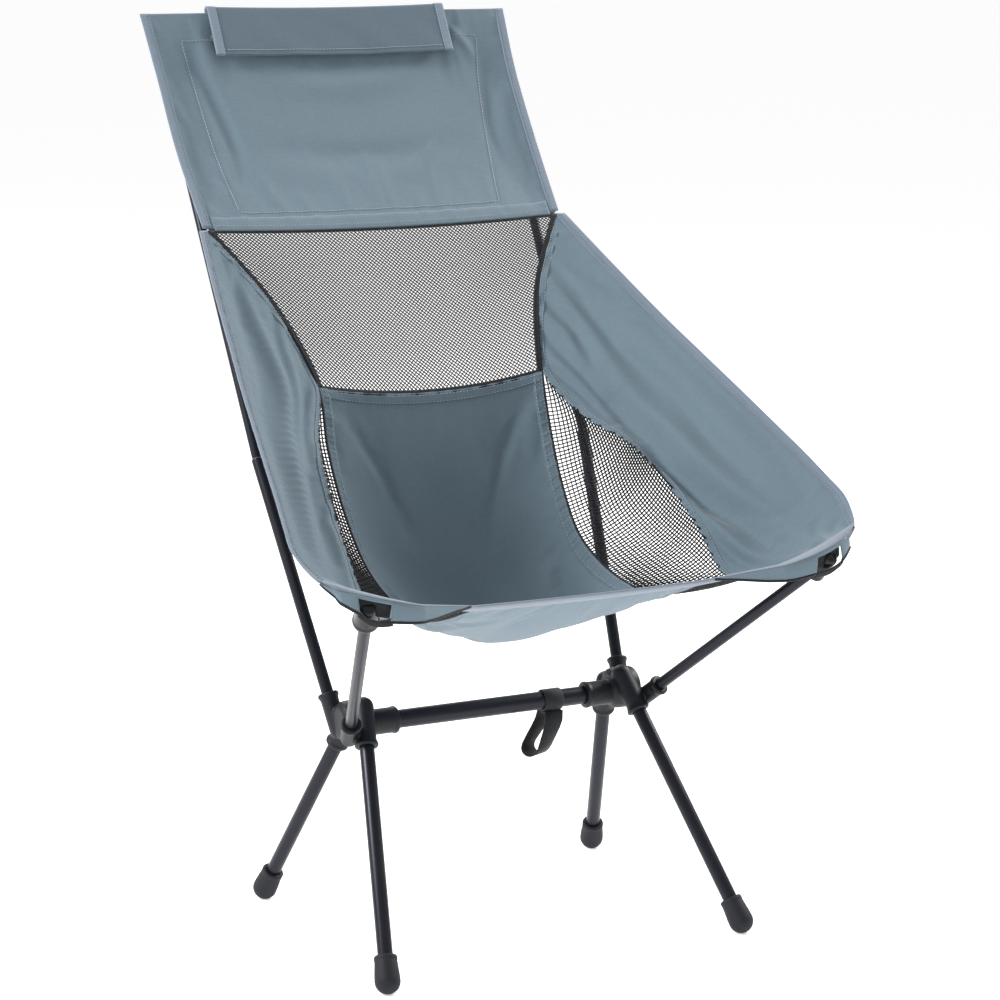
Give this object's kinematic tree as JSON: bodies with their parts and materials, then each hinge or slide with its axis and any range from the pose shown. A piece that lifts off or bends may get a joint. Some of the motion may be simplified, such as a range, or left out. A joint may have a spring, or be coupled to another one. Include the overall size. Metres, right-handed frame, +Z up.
{
  "type": "ultralight backpacking chair",
  "caption": "High-back packable camp chair: shock-corded alloy poles in moulded hubs carry a sling of woven panels and mesh, with a folded headrest flap.",
  "frame": {"origin": "on the ground, under the middle of the chair's bounding box", "axes": "+Z up; the sitter faces -Y; +X is on the right for someone looking at the chair from the front"},
  "size_m": [0.6354, 0.7184, 0.9778],
  "materials": {
    "anodised_tube": "satin anodised",
    "bare_alloy": "satin",
    "moulded_nylon": "moulded, fine texture",
    "foot_rubber": "matte",
    "elastic_cord": "braided",
    "woven_polyester": "plain weave",
    "black_mesh": "open square mesh",
    "binding_tape": "ribbed tape",
    "black_webbing": "flat webbing"
  },
  "bodies": {
    "root": {"crossbar": "anodised_tube", "seat_pole_right": "anodised_tube", "seat_pole_left": "anodised_tube", "back_pole_lower_right": "anodised_tube", "back_pole_lower_left": "anodised_tube", "back_pole_upper_right": "anodised_tube", "back_pole_upper_left": "anodised_tube", "back_pole_spigot_right": "bare_alloy", "back_pole_spigot_left": "bare_alloy", "hub_right": "moulded_nylon", "hub_left": "moulded_nylon", "seat_pole_cap_right": "moulded_nylon", "seat_pole_cap_left": "moulded_nylon", "back_pole_cap_right": "moulded_nylon", "back_pole_cap_left": "moulded_nylon", "seat_corner_cup_right": "moulded_nylon", "seat_corner_cup_left": "moulded_nylon", "crossbar_cord": "elastic_cord", "front_leg_cord_right": "elastic_cord", "front_leg_cord_left": "elastic_cord", "rear_leg_cord_right": "elastic_cord", "rear_leg_cord_left": "elastic_cord", "seat_pole_cord_right": "elastic_cord", "seat_pole_cord_left": "elastic_cord", "back_pole_cord_right": "elastic_cord", "back_pole_cord_left": "elastic_cord", "head_panel": "woven_polyester", "seat_panel": "woven_polyester", "headrest_flap_back": "woven_polyester", "wing_right": "woven_polyester", "wing_left": "woven_polyester", "front_gusset_right": "woven_polyester", "front_gusset_left": "woven_polyester", "back_mesh": "black_mesh", "side_mesh_right": "black_mesh", "side_mesh_left": "black_mesh", "front_hem": "binding_tape", "head_binding_right": "binding_tape", "head_binding_left": "binding_tape", "wing_binding_right": "binding_tape", "wing_binding_left": "binding_tape", "mesh_tape_right": "black_webbing", "mesh_tape_left": "black_webbing", "back_corner_pocket_right": "black_webbing", "back_corner_pocket_left": "black_webbing"},
    "front_leg_right": {"front_leg_right": "anodised_tube", "front_leg_foot_right": "foot_rubber"},
    "rear_leg_right": {"rear_leg_right": "anodised_tube", "rear_leg_foot_right": "foot_rubber"},
    "front_leg_left": {"front_leg_left": "anodised_tube", "front_leg_foot_left": "foot_rubber"},
    "rear_leg_left": {"rear_leg_left": "anodised_tube", "rear_leg_foot_left": "foot_rubber"},
    "flap_front": {"headrest_flap_front": "woven_polyester"},
    "strap": {"strap_loop": "black_webbing"}
  },
  "joints": [
    {"name": "front_leg_pull_right", "type": "slide", "parent": "root", "child": "front_leg_right", "axis": [0.1759, -0.5796, -0.7957], "range_m": [0, 0.046]},
    {"name": "front_leg_pull_left", "type": "slide", "parent": "root", "child": "front_leg_left", "axis": [-0.1759, -0.5796, -0.7957], "range_m": [0, 0.046]},
    {"name": "rear_leg_pull_right", "type": "slide", "parent": "root", "child": "rear_leg_right", "axis": [0.1966, 0.4835, -0.853], "range_m": [0, 0.046]},
    {"name": "rear_leg_pull_left", "type": "slide", "parent": "root", "child": "rear_leg_left", "axis": [-0.1966, 0.4835, -0.853], "range_m": [0, 0.046]},
    {"name": "flap_lift", "type": "hinge", "parent": "root", "child": "flap_front", "pos_m": [0, 0.34373, 0.9747], "axis": [-1, 0, 0], "range_deg": [0, 120]},
    {"name": "strap_swing", "type": "hinge", "parent": "root", "child": "strap", "pos_m": [0.073, -0.086, 0.2325], "axis": [1, 0, 0], "range_deg": [-60, 60]}
  ]
}
